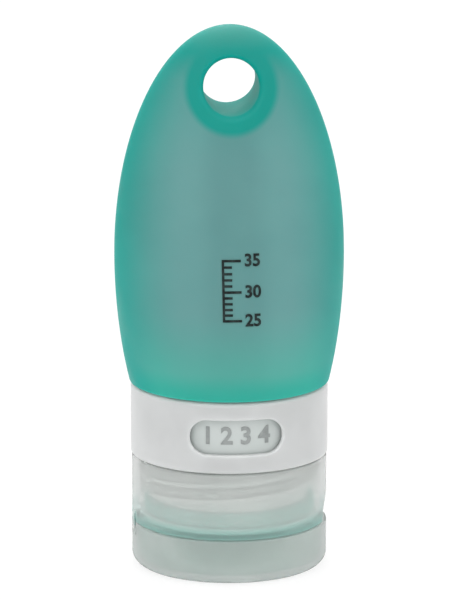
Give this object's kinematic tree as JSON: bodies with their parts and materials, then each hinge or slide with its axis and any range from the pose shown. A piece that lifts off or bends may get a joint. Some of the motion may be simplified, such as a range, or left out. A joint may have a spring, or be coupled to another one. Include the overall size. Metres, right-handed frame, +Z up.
{
  "type": "travel silicone bottle",
  "caption": "Soft squeeze bottle with a hang hole, a turning label window collar and a screw cap whose hinged flip lid closes over a slit valve.",
  "frame": {"origin": "centre of the closed lid's flat outer face, on which the bottle stands upside down", "axes": "+Z up the axis of the neck towards the hang hole, -Y out of the label window, -X towards the lid's hinge, +X towards the thumb notch"},
  "size_m": [0.0434, 0.0386, 0.1041],
  "materials": {
    "silicone": "translucent matte silicone",
    "white_plastic": "satin moulded polypropylene",
    "label_plastic": "glossy translucent polypropylene",
    "clear_plastic": "natural translucent polypropylene",
    "washer": "thin soft polyethylene sheet",
    "valve_silicone": "clear silicone"
  },
  "bodies": {
    "bottle": {"bottle_body": "silicone", "neck_ring": "white_plastic", "label_ring": "label_plastic"},
    "collar": {"window_collar": "white_plastic"},
    "washer": {"sealing_washer": "washer"},
    "cap": {"cap_base": "clear_plastic", "slit_valve": "valve_silicone", "valve_retainer": "clear_plastic"},
    "lid": {"flip_lid": "clear_plastic"}
  },
  "joints": [
    {"name": "collar_turn", "type": "hinge", "parent": "bottle", "child": "collar", "pos_m": [0, 0, 0.0287], "axis": [0, 0, 1], "continuous": true},
    {"name": "cap_lift", "type": "slide", "parent": "bottle", "child": "washer", "axis": [0, 0, -1], "range_m": [0, 0.012]},
    {"name": "cap_unscrew", "type": "hinge", "parent": "washer", "child": "cap", "pos_m": [0, 0, 0.015], "axis": [0, 0, -1], "range_deg": [0, 720]},
    {"name": "lid_flip", "type": "hinge", "parent": "cap", "child": "lid", "pos_m": [-0.01821, 0, 0.0087], "axis": [0, 1, 0], "range_deg": [0, 140]}
  ],
  "couplings": [
    {"joint": "cap_lift", "follows": "cap_unscrew", "m_per_rad": 0.00095493}
  ]
}
